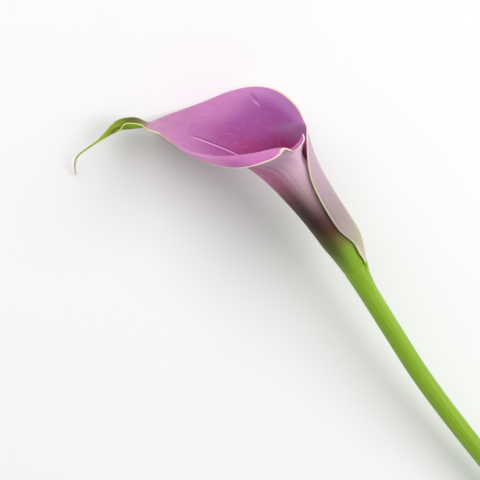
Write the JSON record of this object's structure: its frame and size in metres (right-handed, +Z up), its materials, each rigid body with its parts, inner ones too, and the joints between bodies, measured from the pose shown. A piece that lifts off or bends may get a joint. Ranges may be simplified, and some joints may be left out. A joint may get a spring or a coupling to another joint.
{
  "type": "calla lily flower",
  "caption": "Cut calla lily lying on its rim: one rolled, flaring spathe with a curled tail, the floret-covered spadix inside its tube, and a plain round stem.",
  "frame": {"origin": "centre of the whole flower's box, on the surface that it lies on", "axes": "+X along the stem towards the open mouth, +Z up from the surface, +Y towards the side that the tail hangs to"},
  "size_m": [0.3722, 0.1001, 0.0644],
  "materials": {
    "stem": "satin",
    "spathe": "satin",
    "ovaries": "satin",
    "pollen_florets": "matte"
  },
  "bodies": {
    "root": {"stem": "stem", "spathe": "spathe", "spadix_ovary_zone": "ovaries", "spadix_pollen_zone": "pollen_florets"}
  },
  "joints": []
}
